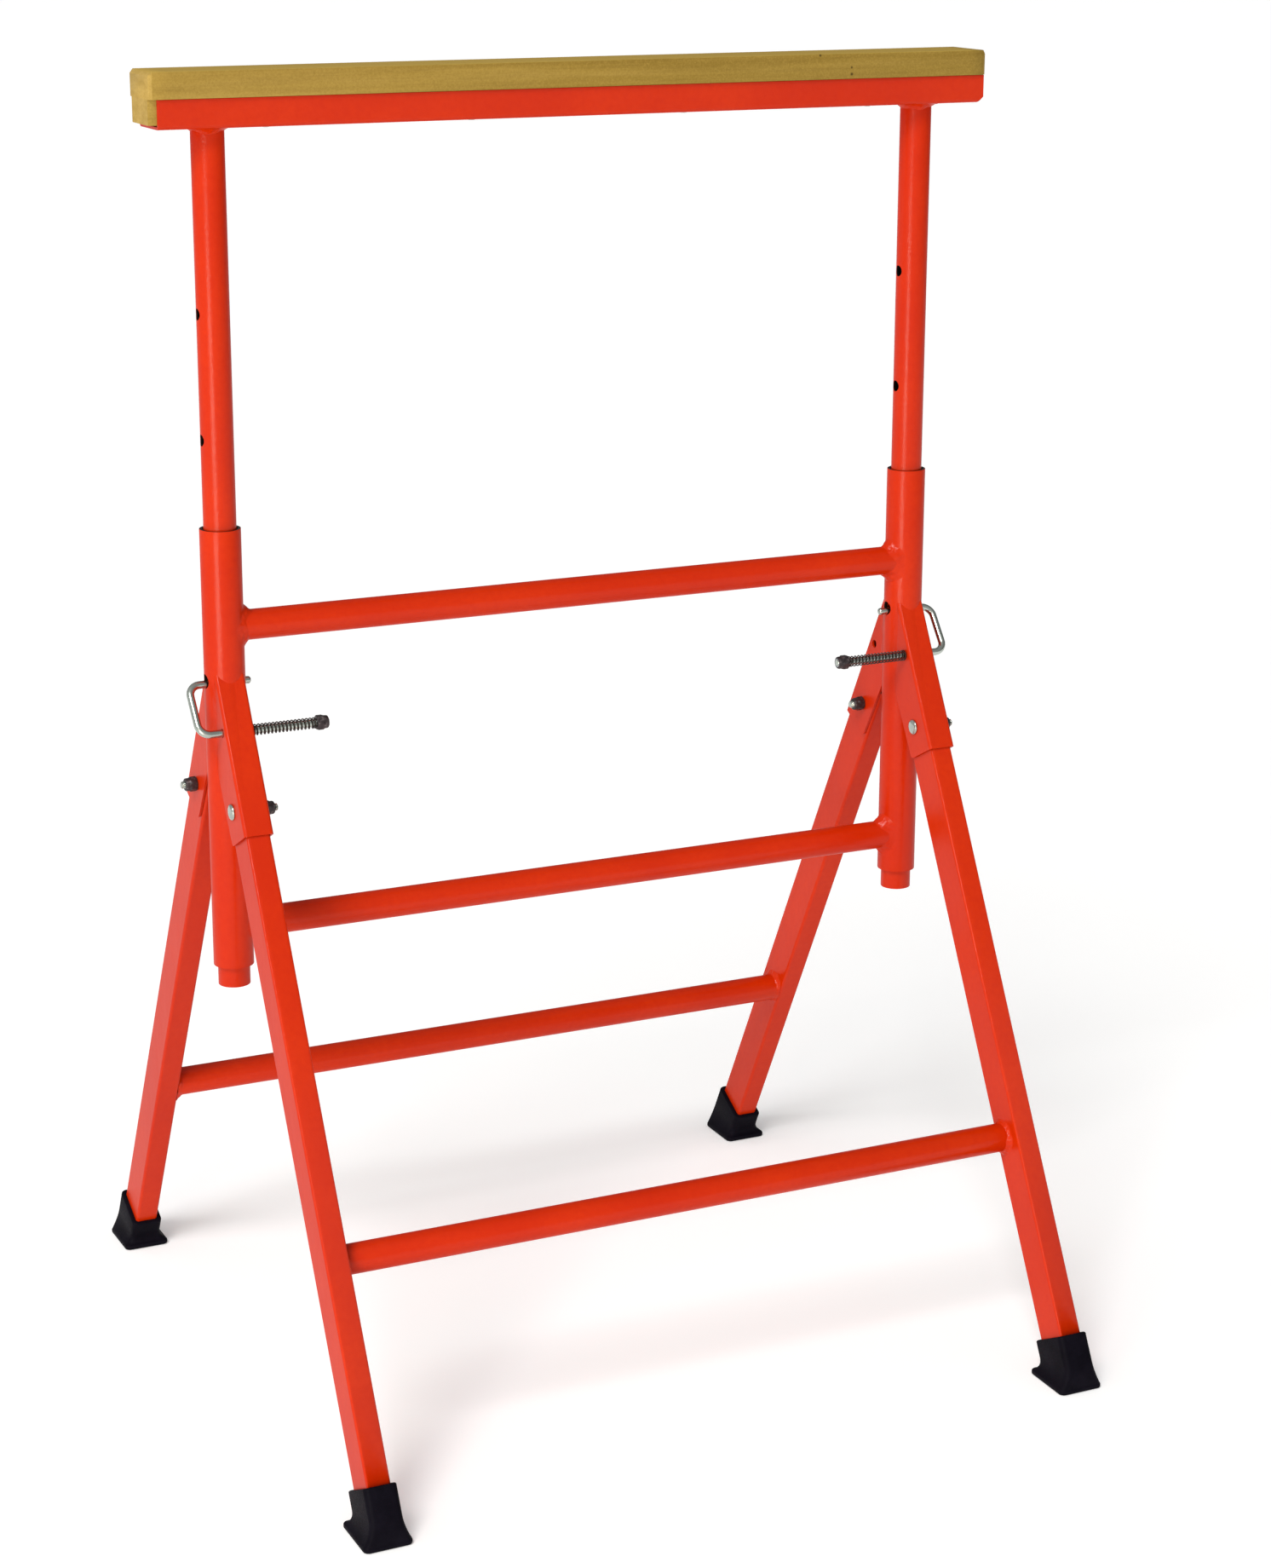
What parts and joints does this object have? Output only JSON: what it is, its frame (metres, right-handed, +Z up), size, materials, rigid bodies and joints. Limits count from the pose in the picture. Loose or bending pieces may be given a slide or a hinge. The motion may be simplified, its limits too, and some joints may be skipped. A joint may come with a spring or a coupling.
{
  "type": "folding sawhorse",
  "caption": "Folding steel sawhorse with splayed leg frames, a timber-topped beam on drilled tubes that slide to set its height, and sprung U-shaped locking pins.",
  "frame": {"origin": "on the floor, midway between the four feet and under the middle of the beam", "axes": "+X along the beam to the right as seen from the front, +Y to the rear, +Z up"},
  "size_m": [0.936, 0.857, 1.395],
  "materials": {
    "orange_paint": "glossy orange-red paint with light runs",
    "zinc_plate": "bright zinc plate",
    "black_nut": "dark blackened steel",
    "timber": "oiled ochre hardwood",
    "black_rubber": "moulded, satin"
  },
  "bodies": {
    "standing_frame": {"outer_tube_left": "orange_paint", "outer_tube_right": "orange_paint", "frame_rail_upper": "orange_paint", "frame_rail_lower": "orange_paint", "leg_socket_front_left": "orange_paint", "leg_socket_front_right": "orange_paint", "leg_socket_rear_left": "orange_paint", "leg_socket_rear_right": "orange_paint", "pivot_bolt_front_left": "zinc_plate", "pivot_bolt_front_right": "zinc_plate", "pivot_bolt_rear_left": "zinc_plate", "pivot_bolt_rear_right": "zinc_plate", "pivot_nut_front_left": "black_nut", "pivot_nut_front_right": "black_nut", "pivot_nut_rear_left": "black_nut", "pivot_nut_rear_right": "black_nut", "pin_spring_left": "zinc_plate", "pin_spring_right": "zinc_plate"},
    "front_legs": {"leg_front_left": "orange_paint", "leg_front_right": "orange_paint", "leg_rail_front": "orange_paint", "foot_front_left": "black_rubber", "foot_front_right": "black_rubber"},
    "rear_legs": {"leg_rear_left": "orange_paint", "leg_rear_right": "orange_paint", "leg_rail_rear": "orange_paint", "foot_rear_left": "black_rubber", "foot_rear_right": "black_rubber"},
    "top_frame": {"inner_tube_left": "orange_paint", "inner_tube_right": "orange_paint", "beam_channel": "orange_paint", "timber_bar": "timber", "timber_screw_1": "zinc_plate", "timber_screw_2": "zinc_plate", "timber_screw_3": "zinc_plate", "timber_screw_4": "zinc_plate"},
    "left_pin": {"locking_pin_left": "zinc_plate", "pin_nut_left": "black_nut"},
    "right_pin": {"locking_pin_right": "zinc_plate", "pin_nut_right": "black_nut"}
  },
  "joints": [
    {"name": "front_leg_fold", "type": "hinge", "parent": "standing_frame", "child": "front_legs", "pos_m": [0, -0.0585, 0.656], "axis": [1, 0, 0], "range_deg": [0, 28]},
    {"name": "rear_leg_fold", "type": "hinge", "parent": "standing_frame", "child": "rear_legs", "pos_m": [0, 0.0585, 0.656], "axis": [-1, 0, 0], "range_deg": [0, 28]},
    {"name": "height_slide", "type": "slide", "parent": "standing_frame", "child": "top_frame", "axis": [0, 0, 1], "range_m": [-0.3795, 0.3795]},
    {"name": "left_pin_pull", "type": "slide", "parent": "standing_frame", "child": "left_pin", "axis": [-1, 0, 0], "range_m": [0, 0.045], "stiffness_N_per_m": 1100, "springref_m": -0.012, "deforming": ["pin_spring_left"]},
    {"name": "right_pin_pull", "type": "slide", "parent": "standing_frame", "child": "right_pin", "axis": [1, 0, 0], "range_m": [0, 0.0487], "stiffness_N_per_m": 1100, "springref_m": -0.0083, "deforming": ["pin_spring_right"]}
  ]
}
